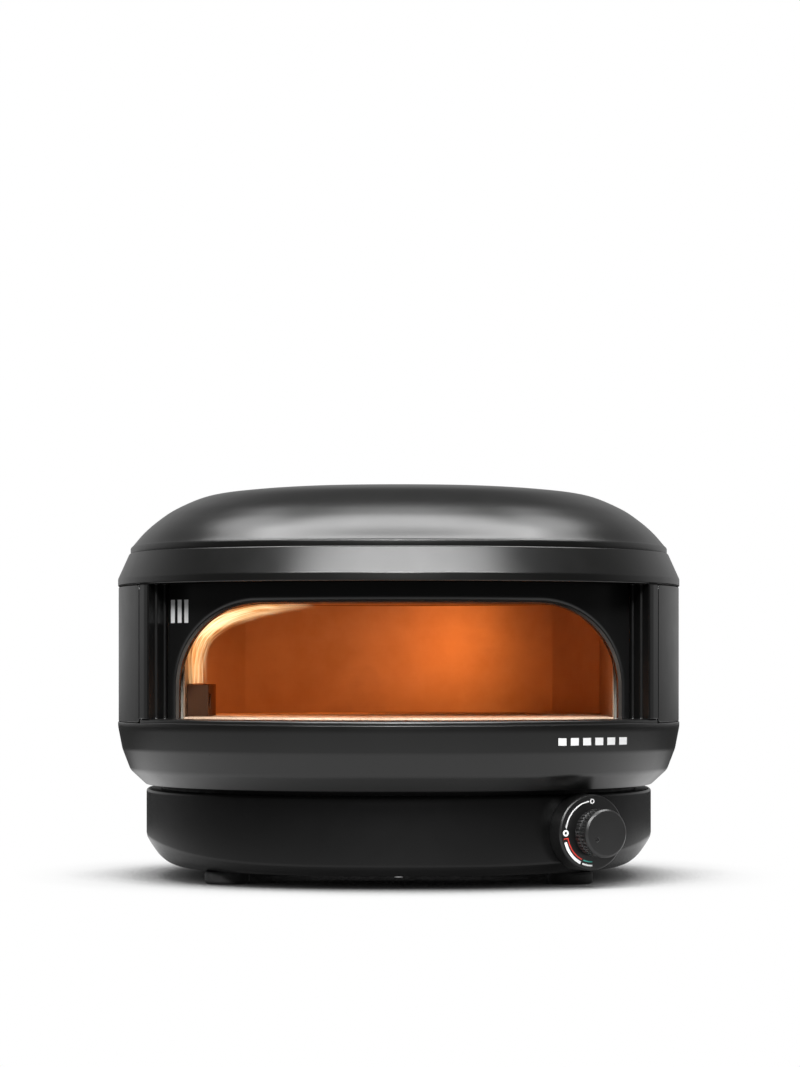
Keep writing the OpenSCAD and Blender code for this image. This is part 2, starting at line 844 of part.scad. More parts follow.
// A thin printed arc on the dial's face, from angle a0 to a1
module dial_arc(r, w, a0, a1) {
    rotate([0, 0, a0])
        rotate_extrude(angle = a1 - a0, $fn = 96)
            translate([r - w / 2, 0.02]) square([w, mark_t]);
}
module dial_dot(r, angle, outer, inner) {
    rotate([0, 0, angle]) translate([r, 0, 0.02])
        difference() {
            cylinder(r = outer, h = mark_t, $fn = 32);
            translate([0, 0, -1]) cylinder(r = inner, h = 3, $fn = 32);
        }
}

module dial_marks_white() {
    color("white")
        at_dial() {
            dial_dot(25.3, 90, 2, 1.2);
            dial_arc(25.3, 1, 97, 171);
            dial_dot(25.3, 180, 2.7, 1.1);
            dial_arc(26.6, 2.4, 196, 245);
            dial_arc(26.6, 1.3, 249, 270);
        }
}

module dial_marks_red() {
    color("#c03030")
        at_dial() {
            dial_arc(23.6, 0.9, 191, 245);
            rotate([0, 0, 190]) translate([23.2, -0.4, 0.02]) cube([4.4, 0.8, mark_t]);
        }
}

module dial_marks_green() {
    color("#2f8f78") at_dial() dial_arc(23.6, 0.9, 249, 270);
}

module knob_cap() {
    r = knob_d / 2;
    color("#1a1a1a")
        at_dial()
            difference() {
                translate([0, 0, knob_base + knob_len - 6])
                    rotate_extrude($fn = 96)
                        polygon([[0, 0], [r - 3.4, 0], [r - 3.4, 2], [r, 2], [r, 4.4], [r - 1.6, 6], [0, 6]]);
                rotate([0, 0, pointer_angle]) translate([10.5, 0, knob_base + knob_len + 0.6])
                    sphere(r = 1.4, $fn = 24);
            }
}

module knob_grip() {
    r = knob_d / 2;
    ribs = 72;
    color("#1a1a1a")
        at_dial()
            difference() {
                translate([0, 0, knob_base]) cylinder(r = r - 0.2, h = knob_len - 4.05, $fn = 96);
                translate([0, 0, knob_base + 8]) cylinder(r = r - 3.3, h = knob_len, $fn = 96);
                translate([0, 0, knob_base - 1]) cylinder(r = 5.1, h = 12, $fn = 48);
                translate([0, 0, knob_base + 6.6])
                    difference() {
                        cylinder(r = r + 1, h = 1, $fn = 48);
                        translate([0, 0, -1]) cylinder(r = r - 1.2, h = 3, $fn = 96);
                    }
                for (i = [0 : ribs - 1])
                    rotate([0, 0, 360 * i / ribs]) translate([r, 0, knob_base - 1])
                        rotate([0, 0, 45]) cube([0.9, 0.9, 30], center = false);
            }
}

module knob_insert() {
    color("#c9a24a")
        at_dial()
            difference() {
                translate([0, 0, knob_base + 0.5]) cylinder(r = 5, h = 11, $fn = 48);
                difference() {
                    translate([0, 0, knob_base - 1]) cylinder(r = 3.02, h = 30, $fn = 48);
                    translate([2.03, -4, knob_base - 2]) cube([4, 8, 40]);
                }
            }
}

// ---------------------------------------------------------------- fasteners

// Four places on the back of the side shell, local Z straight out of the wall
module at_shell_screws() {
    x = 110;
    tilt = 20.5;
    for (side = [-1, 1], z = [150, 228])
        translate([side * x, -plan_front_y(x, half_w - 0.4, half_d - 0.4), z])
            rotate([-90, 0, -side * tilt]) children();
}

module shell_screws() {
    color("silver") at_shell_screws() screw(3.6, 1.8, 1.8, 7);
}

module skirt_screws() {
    color("silver")
        for (p = skirt_screw_spots) translate([p.x, p.y, pan_top_z]) screw(4, 2, 2, 1.9);
}

module base_screws() {
    color("silver")
        for (p = base_screw_spots) translate([p.x, p.y, foot_h]) mirror([0, 0, 1]) screw(3.6, 1.8, 1.8, 9);
}

// ---------------------------------------------------------------- assembly

dome_cover();
shoulder_band();
side_shell();
front_frame();
fascia_panel();
lower_skirt();
sill_plate();
neck_ring();
base_housing();
base_plate();
foot_front_left();
foot_front_right();
foot_rear_left();
foot_rear_right();
foot_screws();
throat();
mouth_gasket();
chamber_front();
chamber_wall();
roof_liner();
roof_insulation();
wall_insulation();
floor_insulation();
stone_tray();
heat_shield();
floor_pan();
body_posts();
pizza_stone();
burner_box();
burner_tube();
venturi();
injector();
supply_pipe();
valve_body();
valve_bracket();
valve_spring();
push_collar();
valve_spindle();
inlet_pipe();
inlet_fitting();
inlet_nut();
igniter_electrode();
igniter_bracket();
piezo_unit();
igniter_lead();
thermocouple();
thermocouple_lead();
dial_boss();
dial_marks_white();
dial_marks_red();
dial_marks_green();
knob_cap();
knob_grip();
knob_insert();
shell_screws();
skirt_screws();
base_screws();
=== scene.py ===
"""The looks of the countertop pizza oven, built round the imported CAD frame.

Lengths are in millimetres until to_m() or MM turns them into metres.
"""
import json
import math

import bpy
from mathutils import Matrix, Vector

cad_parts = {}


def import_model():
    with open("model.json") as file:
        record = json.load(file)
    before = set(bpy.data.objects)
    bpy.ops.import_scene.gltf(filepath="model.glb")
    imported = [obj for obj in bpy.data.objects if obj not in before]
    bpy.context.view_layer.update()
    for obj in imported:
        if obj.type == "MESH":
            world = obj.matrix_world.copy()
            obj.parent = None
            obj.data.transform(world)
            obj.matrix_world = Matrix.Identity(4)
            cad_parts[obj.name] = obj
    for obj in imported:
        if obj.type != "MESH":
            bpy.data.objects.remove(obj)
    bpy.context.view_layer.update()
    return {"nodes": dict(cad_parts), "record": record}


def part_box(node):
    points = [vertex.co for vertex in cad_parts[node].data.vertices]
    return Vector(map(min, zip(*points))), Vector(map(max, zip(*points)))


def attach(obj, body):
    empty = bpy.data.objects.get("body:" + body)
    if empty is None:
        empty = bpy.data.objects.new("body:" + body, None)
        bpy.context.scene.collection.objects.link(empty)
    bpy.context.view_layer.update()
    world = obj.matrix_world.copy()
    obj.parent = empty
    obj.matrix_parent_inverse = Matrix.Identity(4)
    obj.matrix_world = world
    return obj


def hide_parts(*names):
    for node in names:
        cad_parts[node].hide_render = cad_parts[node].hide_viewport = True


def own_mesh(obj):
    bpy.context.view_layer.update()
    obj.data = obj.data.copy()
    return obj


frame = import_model()

MM = 0.001
PLAN_POWER = 2.3
RING = 288
HALF_W = 240.0
HALF_D = 281.5
SKIN = 2.0
CORNER_SHARE = 0.48  # the most of an edge that one rounded corner may take

# Heights
SKIRT_BAND_TOP_Z = 127.6
SKIRT_BAND_LOW_Z = 109.0
SKIRT_BAND_INSET = 3.6
LIP_Z = 131.5
SILL_Z = 135.3
WALL_TOP_Z = 246.0
BAND_TOP_Z = 274.0
BASE_TOP_Z = 75.0
FOOT_H = 10.5

# The base's holes
BASE_BACK_Y = 235.0
INLET_HOLE_R = 11.0
DIAL_HOLE_R = 31.0

# The recessed front
FASCIA_R = 260.0
FASCIA_CY = -HALF_D + 50.0 + FASCIA_R
FASCIA_X = 189.5
THROAT_DEPTH = 31.0
MOUTH_W = 182.0
MOUTH_TOP = 230.0
MOUTH_R = 68.0
LIP_R = 5.0
SIDE_STEPS = 10
ARC_STEPS = 24
TOP_STEPS = 20

# The chamber's plan
CHAMBER_X = 178.0
CORNER_Y = 86.0
CORNER_X = 140.0
REAR_CORNER_Y = 150.0
REAR_R = 205.7
REAR_CY = -0.7

# The dial
DIAL_POS = Vector((156.0, -207.5, 44.4))
DIAL_TURN = math.radians(30)
SPRING_BACK = -43.9


# ---------------------------------------------------------------- mesh helpers

def to_m(points):
    """Points in millimetres as points in metres."""
    return [(p[0] * MM, p[1] * MM, p[2] * MM) for p in points]


def make_mesh(name, points, faces, sharp_deg=32):
    """A shaded mesh object from points in millimetres."""
    mesh = bpy.data.meshes.new(name)
    mesh.from_pydata(to_m(points), [], faces)
    mesh.validate()
    mesh.shade_smooth()
    mesh.set_sharp_from_angle(angle=math.radians(sharp_deg))
    obj = bpy.data.objects.new(name, mesh)
    bpy.context.scene.collection.objects.link(obj)
    return obj


def stand_for(obj, body, slot, material, *nodes):
    """Puts a piece on its body, gives it its material and hides the CAD nodes that it stands for."""
    obj.data.materials.append(material)
    flat_faces = obj.modifiers.new("flat_faces", "WEIGHTED_NORMAL")
    flat_faces.keep_sharp = True
    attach(obj, body)
    if nodes:
        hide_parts(*nodes)
    return obj


def soften(obj, width):
    """Rounds a piece's sharp edges."""
    bevel = obj.modifiers.new("soft_edges", "BEVEL")
    bevel.width = width * MM
    bevel.segments = 2
    bevel.limit_method = "ANGLE"
    bevel.angle_limit = math.radians(40)
    bevel.harden_normals = True


def thicken(obj, thickness, offset=-1.0, edge=0.1):
    """Gives a sheet its thickness and softens its cut edges."""
    solid = obj.modifiers.new("thickness", "SOLIDIFY")
    solid.thickness = thickness * MM
    solid.offset = offset
    soften(obj, edge)


def cut_away(obj, cutter):
    """Cuts the cutter's shape out of a piece for good, then throws the cutter away."""
    hole = obj.modifiers.new("hole", "BOOLEAN")
    hole.object = cutter
    hole.operation = "DIFFERENCE"
    hole.solver = "EXACT"
    bpy.context.view_layer.update()
    depsgraph = bpy.context.evaluated_depsgraph_get()
    made = bpy.data.meshes.new_from_object(obj.evaluated_get(depsgraph))
    obj.modifiers.clear()
    obj.data = made
    bpy.data.objects.remove(cutter)


def spow(v, p):
    """A power that keeps the sign of v."""
    return math.copysign(abs(v) ** p, v)


def plan_point(a, b, t):
    """A point of the superellipse plan with half sizes a and b."""
    return a * spow(math.cos(t), 2 / PLAN_POWER), b * spow(math.sin(t), 2 / PLAN_POWER)


def ring(a, b, z, z_side=None):
    """A ring of the plan outline; z_side lets its height differ at the sides."""
    points = []
    for i in range(RING):
        t = 2 * math.pi * i / RING
        x, y = plan_point(a, b, t)
        rise = 0 if z_side is None else (z_side - z) * abs(math.cos(t)) ** 4
        points.append((x, y, z + rise))
    return points


def quads(rows, count, closed_rows=True, looped=False):
    """Quads between neighbouring rows of count points each; looped joins the last row to the first."""
    faces = []
    for j in range(rows if looped else rows - 1):
        a = j * count
        b = (j + 1) % rows * count
        for i in range(count if closed_rows else count - 1):
            after = (i + 1) % count
            faces.append((a + i, a + after, b + after, b + i))
    return faces


def grid_from_paths(name, paths, sharp_deg=40):
    """An open sheet through paths of equal count."""
    points = [p for path in paths for p in path]
    return make_mesh(name, points, quads(len(paths), len(paths[0]), closed_rows=False), sharp_deg)


def loft(name, rings, looped=False, cap_first=False, cap_last=False, sharp_deg=32):
    """Joins rings of equal count with quads; caps are fans round a middle point."""
    n = len(rings[0])
    points = [p for r in rings for p in r]
    faces = quads(len(rings), n, looped=looped)
    for wanted, start, turn in ((cap_first, 0, -1), (cap_last, (len(rings) - 1) * n, 1)):
        if wanted:
            middle = len(points)
            rim = points[start:start + n]
            points.append(tuple(sum(p[k] for p in rim) / n for k in range(3)))
            for i in range(n):
                pair = (start + i, start + (i + 1) % n)
                faces.append((*pair[::turn], middle))
    return make_mesh(name, points, faces, sharp_deg)


def rounded(points, radius, steps=5, closed=True):
    """Softens a polyline's corners with short curves; radius is one number, or one for each point."""
    out = []
    n = len(points)
    for i, p in enumerate(points):
        r = radius[i] if isinstance(radius, (list, tuple)) else radius
        if r <= 0 or (not closed and i in (0, n - 1)):
            out.append(tuple(p))
            continue
        here = Vector(p)
        u = Vector(points[i - 1]) - here
        v = Vector(points[(i + 1) % n]) - here
        u = u.normalized() * min(r, u.length * CORNER_SHARE)
        v = v.normalized() * min(r, v.length * CORNER_SHARE)
        for k in range(steps + 1):
            s = k / steps
            out.append(tuple(here + u * (1 - s) ** 2 + v * s ** 2))
    return out


def smooth_curve(points, steps=6):
    """A Catmull-Rom curve through points of any dimension."""
    out = []
    ends = [points[0], *points, points[-1]]
    for i in range(1, len(ends) - 2):
        for k in range(steps):
            t = k / steps
            point = []
            for a, b, c, d in zip(*ends[i - 1:i + 3]):
                square = (2 * a - 5 * b + 4 * c - d) * t ** 2
                cube = (3 * b - a - 3 * c + d) * t ** 3
                point.append(0.5 * (2 * b + (c - a) * t + square + cube))
            out.append(tuple(point))
    out.append(tuple(points[-1]))
    return out


def band(name, profile, radius):
    """A ring-shaped shell; profile is a closed list of (inset, z), taken anticlockwise from outside."""
    return loft(name, [ring(HALF_W - s, HALF_D - s, z) for s, z in rounded(profile, radius)], looped=True)


def prism(name, outline, z0, z1, edge):
    """An upright solid with softened top and bottom edges, from a plan outline given anticlockwise."""
    n = len(outline)

    def shrunk(by, z):
        points = []
        for i, p in enumerate(outline):
            along = (Vector(outline[(i + 1) % n]) - Vector(outline[i - 1])).normalized()
            points.append((p[0] - along.y * by, p[1] + along.x * by, z))
        return points

    levels = [(edge, z0), (0.3 * edge, z0 + 0.3 * edge), (0, z0 + edge), (0, z0 + 2 * edge),
              (0, z1 - 2 * edge), (0, z1 - edge), (0.3 * edge, z1 - 0.3 * edge), (edge, z1)]
    rings = [shrunk(by, z) for by, z in levels]
    points = [p for r in rings for p in r]
    faces = quads(len(rings), n)
    faces.append(tuple(range(n - 1, -1, -1)))
    faces.append(tuple(range((len(rings) - 1) * n, len(rings) * n)))
    return make_mesh(name, points, faces)


def dial_place(point):
    """From the dial's own axes (x right, y up, z outward) to the frame."""
    x, y, z = point
    c, s = math.cos(DIAL_TURN), math.sin(DIAL_TURN)
    return DIAL_POS.x + x * c + z * s, DIAL_POS.y + x * s - z * c, DIAL_POS.z + y


def lathe(name, profile, place, count=128, ribs=None, sharp_deg=32):
    """Turns (r, z) points about an axis.

    place maps local points to the frame, and ribs(i, r, z) may change the radius of a ring's point i.
    """
    rings = []
    for r, z in profile:
        points = []
        for i in range(count):
            t = 2 * math.pi * i / count
            radius = ribs(i, r, z) if ribs else r
            points.append(place((radius * math.cos(t), radius * math.sin(t), z)))
        rings.append(points)
    return loft(name, rings, cap_first=profile[0][0] < 1, cap_last=profile[-1][0] < 1, sharp_deg=sharp_deg)


# ---------------------------------------------------------------- materials

def new_material(name):
    material = bpy.data.materials.new(name)
    material.use_nodes = True
    tree = material.node_tree
    return material, tree, tree.nodes["Principled BSDF"]


def add(tree, kind, **values):
    node = tree.nodes.new(kind)
    for key, value in values.items():
        if key in node.inputs:
            node.inputs[key].default_value = value
        else:
            setattr(node, key, value)
    return node


def grey(v):
    return (v, v, v)


def coordinates(tree, stretch=(1, 1, 1)):
    """Object coordinates in metres, stretched along each axis."""
    source = add(tree, "ShaderNodeTexCoord")
    mapping = add(tree, "ShaderNodeMapping")
    mapping.inputs["Scale"].default_value = stretch
    tree.links.new(source.outputs["Object"], mapping.inputs["Vector"])
    return mapping.outputs["Vector"]


def noise(tree, vector, scale, detail=3.0, roughness=0.5):
    """A cloudy 0 to 1 pattern."""
    node = add(tree, "ShaderNodeTexNoise", Scale=scale, Detail=detail, Roughness=roughness)
    tree.links.new(vector, node.inputs["Vector"])
    return node.outputs["Fac"]


def ramp(tree, fac, stops):
    """Turns a 0 to 1 value into a colour."""
    node = add(tree, "ShaderNodeValToRGB")
    elements = node.color_ramp.elements
    while len(elements) < len(stops):
        elements.new(0.5)
    for element, (position, color) in zip(elements, stops):
        element.position = position
        element.color = (*color, 1)
    tree.links.new(fac, node.inputs["Fac"])
    return node.outputs["Color"]


def span(tree, fac, low, high, from_low=0.0, from_high=1.0):
    """Maps a value between from_low and from_high to one between low and high."""
    node = add(tree, "ShaderNodeMapRange")
    node.inputs["From Min"].default_value = from_low
    node.inputs["From Max"].default_value = from_high
    node.inputs["To Min"].default_value = low
    node.inputs["To Max"].default_value = high
    tree.links.new(fac, node.inputs["Value"])
    return node.outputs["Result"]


def multiply(tree, first, second, factor=1.0):
    """One colour times another."""
    node = add(tree, "ShaderNodeMix", data_type="RGBA", blend_type="MULTIPLY")
    node.inputs["Factor"].default_value = factor
    tree.links.new(first, node.inputs["A"])
    tree.links.new(second, node.inputs["B"])
    return node.outputs["Result"]


def bump(tree, shader, height, strength, distance):
    """Fine surface grain, far too small to model."""
    node = add(tree, "ShaderNodeBump", Strength=strength, Distance=distance)
    tree.links.new(height, node.inputs["Height"])
    tree.links.new(node.outputs["Normal"], shader.inputs["Normal"])


def coated(name, dark, light, rough, texture=0.25, ior=1.5):
    """Painted or powder coated metal: faint cloudiness, a fine orange-peel texture and uneven gloss."""
    material, tree, shader = new_material(name)
    where = coordinates(tree)
    cloud = noise(tree, where, 14, 4)
    tree.links.new(ramp(tree, cloud, [(0.3, dark), (0.7, light)]), shader.inputs["Base Color"])
    gloss = span(tree, noise(tree, where, 60, 3), rough * 0.9, rough * 1.1)
    tree.links.new(gloss, shader.inputs["Roughness"])
    shader.inputs["IOR"].default_value = ior
    bump(tree, shader, noise(tree, where, 1500, 2), texture, 0.00006)
    return material


def metal(name, stops, rough, grain=(1, 1, 60), grain_scale=35, strength=0.15, metallic=1.0):
    """Bare metal with a rolled or brushed grain; stops colour its larger patches, soot makes it duller."""
    material, tree, shader = new_material(name)
    where = coordinates(tree)
    shader.inputs["Metallic"].default_value = metallic
    tree.links.new(ramp(tree, noise(tree, where, 9, 5, 0.6), stops), shader.inputs["Base Color"])
    fine = noise(tree, coordinates(tree, grain), grain_scale, 3)
    tree.links.new(span(tree, fine, rough * 0.75, rough * 1.25), shader.inputs["Roughness"])
    bump(tree, shader, fine, strength, 0.0001)
    return material


def plain(name, dark, light, rough, scale=300, strength=0.2, metallic=0.0):
    """Moulded, cast or printed surfaces with a fine grain."""
    material, tree, shader = new_material(name)
    where = coordinates(tree)
    tree.links.new(ramp(tree, noise(tree, where, scale * 0.1, 4), [(0.3, dark), (0.7, light)]),
                   shader.inputs["Base Color"])
    gloss = span(tree, noise(tree, where, scale, 3), rough * 0.85, rough * 1.15)
    tree.links.new(gloss, shader.inputs["Roughness"])
    shader.inputs["Metallic"].default_value = metallic
    bump(tree, shader, noise(tree, where, scale * 4, 3), strength, 0.0001)
    return material


def stone_material():
    """Cordierite: warm beige, speckled, a little scorched, with a fine open grain."""
    material, tree, shader = new_material("cordierite")
    where = coordinates(tree)
    base = ramp(tree, noise(tree, where, 22, 8, 0.65),
                [(0.3, (0.62, 0.43, 0.29)), (0.55, (0.78, 0.58, 0.42)), (0.8, (0.84, 0.68, 0.52))])
    speckle = ramp(tree, noise(tree, where, 900, 2), [(0.35, (0.45, 0.4, 0.36)), (0.5, grey(1))])
    tree.links.new(multiply(tree, base, speckle, 0.6), shader.inputs["Base Color"])
    shader.inputs["Roughness"].default_value = 0.85
    bump(tree, shader, noise(tree, where, 700, 5), 0.4, 0.0003)
    return material


def wool_material():
    """Ceramic fibre blanket."""
    material, tree, shader = new_material("insulation_wool")
    where = coordinates(tree, (1, 1, 4))
    tufts = noise(tree, where, 60, 8, 0.7)
    tree.links.new(ramp(tree, tufts, [(0.3, (0.7, 0.66, 0.56)), (0.7, (0.9, 0.88, 0.8))]),
                   shader.inputs["Base Color"])
    shader.inputs["Roughness"].default_value = 0.95
    shader.inputs["Sheen Weight"].default_value = 0.3
    bump(tree, shader, noise(tree, where, 240, 8, 0.7), 0.8, 0.0015)
    return material


POWDER = coated("powder_coat", (0.0030, 0.0030, 0.0029), (0.0042, 0.0042, 0.0040), 0.29, 0.3)
FRAME_BLACK = coated("frame_black", grey(0.003), grey(0.004), 0.32, 0.12, 1.4)
FASCIA_BLACK = coated("fascia_black", grey(0.005), grey(0.0065), 0.30, 0.12)
BASE_BLACK = coated("base_black", grey(0.0028), grey(0.0038), 0.26, 0.2, 1.33)
DARK_STEEL = coated("dark_steel", grey(0.02), grey(0.03), 0.55)
UNDERSIDE = coated("visor_underside_black", grey(0.003), grey(0.004), 0.85, ior=1.02)
RUBBER = plain("foot_rubber", grey(0.012), grey(0.02), 0.7, 500, 0.35)
BOSS_BLACK = plain("boss_black", grey(0.006), grey(0.009), 0.32, 400, 0.1)
BLACK_PLASTIC = plain("black_plastic", grey(0.015), grey(0.022), 0.45, 600, 0.3)
KNOB_BLACK = coated("knob_black", grey(0.009), grey(0.013), 0.33, 0.15)
CHAMBER = metal("chamber_steel",
                [(0.3, (0.42, 0.30, 0.20)), (0.55, (0.52, 0.40, 0.29)), (0.8, (0.36, 0.27, 0.22))],
                0.42, (1, 1, 40), 30, 0.12, 0.5)
HEAT = metal("heat_steel",
             [(0.3, (0.06, 0.024, 0.009)), (0.6, (0.10, 0.04, 0.014)), (0.85, (0.05, 0.02, 0.01))],
             0.5, (40, 1, 1), 30, 0.12, 0.6)
STEEL = metal("plain_steel", [(0.3, (0.45, 0.45, 0.46)), (0.7, (0.58, 0.58, 0.6))], 0.42)
FASTENER = metal("fastener_steel", [(0.3, grey(0.4)), (0.7, grey(0.55))], 0.32, (20, 20, 20), 60)
SPRING = metal("spring_steel", [(0.3, (0.4, 0.4, 0.42)), (0.7, (0.6, 0.6, 0.62))], 0.25, (20, 20, 20), 80)
FOIL = metal("shield_aluminium", [(0.3, grey(0.72)), (0.7, grey(0.82))], 0.3, (60, 1, 1))
PIPE = metal("pipe_alloy", [(0.3, grey(0.6)), (0.7, grey(0.75))], 0.33, (10, 10, 10))
VALVE = metal("valve_alloy", [(0.3, (0.5, 0.49, 0.46)), (0.7, (0.62, 0.6, 0.57))],
              0.5, (15, 15, 15), 120, 0.3)
BRASS = metal("brass_fitting", [(0.3, (0.60, 0.42, 0.16)), (0.7, (0.78, 0.58, 0.26))], 0.28, (1, 60, 1))
COPPER = metal("copper_lead", [(0.3, (0.62, 0.32, 0.2)), (0.7, (0.8, 0.46, 0.3))], 0.3, (20, 20, 20))
CERAMIC = plain("white_ceramic", (0.78, 0.76, 0.7), (0.88, 0.86, 0.8), 0.2, 200, 0.05)
SILICONE = plain("silicone_lead", (0.62, 0.58, 0.48), (0.74, 0.7, 0.6), 0.5)
GASKET = plain("fibre_gasket", (0.03, 0.025, 0.022), (0.06, 0.05, 0.042), 0.9, 400, 0.8)
WHITE = plain("print_white", grey(0.72), grey(0.8), 0.45, 500, 0.1)
RED = plain("print_red", (0.5, 0.03, 0.02), (0.6, 0.045, 0.03), 0.45, 500, 0.1)
GREEN = plain("print_green", (0.03, 0.3, 0.25), (0.05, 0.38, 0.32), 0.45, 500, 0.1)
STONE = stone_material()
WOOL = wool_material()

SLOT_MATERIALS = {
    "powder_coat": POWDER, "frame_black": FRAME_BLACK, "fascia_black": FASCIA_BLACK, "base_black": BASE_BLACK,
    "dark_steel": DARK_STEEL, "foot_rubber": RUBBER, "fastener_steel": FASTENER, "heat_steel": HEAT,
    "chamber_steel": CHAMBER, "fibre_gasket": GASKET, "insulation_wool": WOOL, "plain_steel": STEEL,
    "shield_aluminium": FOIL, "cordierite": STONE, "brass_fitting": BRASS, "valve_alloy": VALVE,
    "pipe_alloy": PIPE, "spring_steel": SPRING, "white_ceramic": CERAMIC, "black_plastic": BLACK_PLASTIC,
    "silicone_lead": SILICONE, "copper_lead": COPPER, "boss_black": BOSS_BLACK, "print_white": WHITE,
    "print_red": RED, "print_green": GREEN, "knob_black": KNOB_BLACK,
}
for entry in frame["record"]["subparts"]:
    node_object = frame["nodes"][entry["node"]]
    node_object.data.materials.clear()
    node_object.data.materials.append(SLOT_MATERIALS[entry["material_slot"]])


# ---------------------------------------------------------------- outer shells

def dome():
    """The pressed top: a short upright rim, a soft step, then one continuous crown."""
    side = smooth_curve([
        (228.4, 279.6), (226.6, 281.4), (218.3, 291.0), (207.0, 301.0), (191.4, 311.5),
        (167.0, 321.8), (140.0, 325.9), (105.0, 328.4), (58.0, 330.2), (20.0, 330.8)], 7)
    rim = [(227.6, 272.6), (229.0, 273.2), (229.4, 274.4), (229.4, 277.8), (229.2, 278.6)]
    round_below = 120.0
    rings = [ring(a, a + (HALF_D - HALF_W) * min(1.0, a / round_below), z) for a, z in rim + side]
    obj = loft("dome_cover_shell", rings, cap_last=True, sharp_deg=40)
    thicken(obj, 1.4)
    return obj


def shoulder():
    """The upright visor edge, the sloped band above it and its return under the dome."""
    profile = [(0, WALL_TOP_Z), (0, 252.4), (9.7, BAND_TOP_Z), (12.6, BAND_TOP_Z), (12.6, BAND_TOP_Z - 3),
               (2.4, 251.6), (2.4, WALL_TOP_Z + 2), (8, WALL_TOP_Z + 2), (8, WALL_TOP_Z)]
    softness = [1.4, 0.8, 1.3, 0.4, 0.4, 1, 1, 0.3, 0.6]
    return band("shoulder_band_shell", profile[::-1], softness[::-1])


def plan_front_y(x, inset):
    """How far forward the plan outline reaches at x, once it is inset."""
    share = min(1.0, abs(x) / (HALF_W - inset))
    return -(HALF_D - inset) * (1 - share ** PLAN_POWER) ** (1 / PLAN_POWER)


def visor_underside():
    """The flat strip under the visor, between the band and the recessed front."""
    count = 72
    reach = 205.0
    z = WALL_TOP_Z - 0.1
    back_r = FASCIA_R - 12
    outer, inner = [], []
    for i in range(count + 1):
        x = -reach + 2 * reach * i / count
        outer.append((x, plan_front_y(x, 1.2), z))
        inner.append((x, FASCIA_CY - math.sqrt(back_r ** 2 - x * x), z))
    n = count + 1
    faces = [(i, i + n, i + n + 1, i + 1) for i in range(count)]
    obj = make_mesh("visor_underside", outer + inner, faces)
    thicken(obj, 0.5, edge=0.25)
    return obj


def skirt():
    """The lip, the tapering band and the chamfer under the body."""
    profile = [(0, LIP_Z + 0.2), (0, SKIRT_BAND_TOP_Z), (SKIRT_BAND_INSET, SKIRT_BAND_LOW_Z), (10.5, 91),
               (24, 78.5), (26.5, 80.9), (42, 80.9), (42, 82.5), (25, 82.5), (13, 93), (6, 110), (2.4, 127),
               (2.4, LIP_Z + 0.2)]
    softness = [0.8, 3, 1.6, 2.4, 1.2, 0.4, 0.4, 0.4, 2, 2, 2, 1, 0.8]
    return band("lower_skirt_shell", profile[::-1], softness[::-1])


def sill():
    """The landing in front of the stone, with a rounded front edge."""
    count = 120
    reach = 212.5
    post_x = 189.0
    tuck_x = 186.0
    back_r = FASCIA_R - 8.5
    front = [(2.0, LIP_Z), (0.5, LIP_Z + 0.1), (0.1, LIP_Z + 0.6), (0.0, 133.2), (0.25, 134.2), (0.9, 134.95),
             (1.9, SILL_Z - 0.05), (3.2, SILL_Z)]
    rows = []
    for i in range(count + 1):
        x = -reach + 2 * reach * i / count
        row = [(x * (1 - s / HALF_W), plan_front_y(x, 0) + s * 0.9, z) for s, z in front]
        if abs(x) < post_x:
            back_x = max(-tuck_x, min(tuck_x, x))
            back_y = FASCIA_CY - math.sqrt(back_r ** 2 - back_x ** 2)
        else:
            back_x = x * 0.985
            back_y = -150.0
        row.append((back_x, back_y, SILL_Z))
        row.append((back_x, back_y, LIP_Z))
        rows.append(row)
    n = len(rows[0])
    points = [p for r in rows for p in r]
    faces = [face[::-1] for face in quads(len(rows), n)]
    faces.append(tuple(range(n)))
    faces.append(tuple(count * n + i for i in range(n - 1, -1, -1)))
    return make_mesh("sill_landing", points, faces, 40)


def wall_columns():
    """Plan points of the side shell from its left front edge, round the back, to its right front edge."""
    points = []
    count = 900
    gap = 0.5
    front_y = -149.0
    for i in range(count):
        t = -math.pi / 2 - 2 * math.pi * i / count
        x, y = plan_point(HALF_W - gap, HALF_D - gap, t)
        if y > front_y:
            points.append((x, y))
    return points


def side_wall():
    """The U-shaped wall with rounded front corners."""
    plan = wall_columns()
    lengths = [0.0]
    for p, q in zip(plan, plan[1:]):
        lengths.append(lengths[-1] + math.dist(p, q))
    total = lengths[-1]
    corner = 5.0
    z0 = LIP_Z + 0.5
    z1 = WALL_TOP_Z - 0.5
    rows = 9
    keep = [i for i, s in enumerate(lengths)
            if i % 3 == 0 or s < 2 * corner or s > total - 2 * corner or i == len(lengths) - 1]
    columns = []
    for i in keep:
        near = min(lengths[i], total - lengths[i])
        drop = corner - math.sqrt(corner ** 2 - (corner - near) ** 2) if near < corner else 0.0
        low = z0 + drop
        high = z1 - drop
        columns.append([(*plan[i], low + (high - low) * k / (rows - 1)) for k in range(rows)])
    obj = grid_from_paths("side_shell_wall", columns, 32)
    thicken(obj, SKIN, edge=0.8)
    return obj


def post_outline():
    """Plan of the right post: two ridges whose flanks face the mouth, and a rounded outer corner."""
    outline = [(213.2, -150.6), (204.6, -147), (200, -145), (189.6, -144), (189.6, -149), (191.2, -152.8),
               (193.0, -152.4), (197.6, -160.6), (199.6, -160.2), (204.8, -168.0), (208.6, -161.8)]
    softness = [0.8, 0.8, 0.8, 0.6, 1.0, 1.2, 1.0, 1.2, 1.0, 1.8, 1.5]
    return rounded(outline, softness, 4)[::-1]


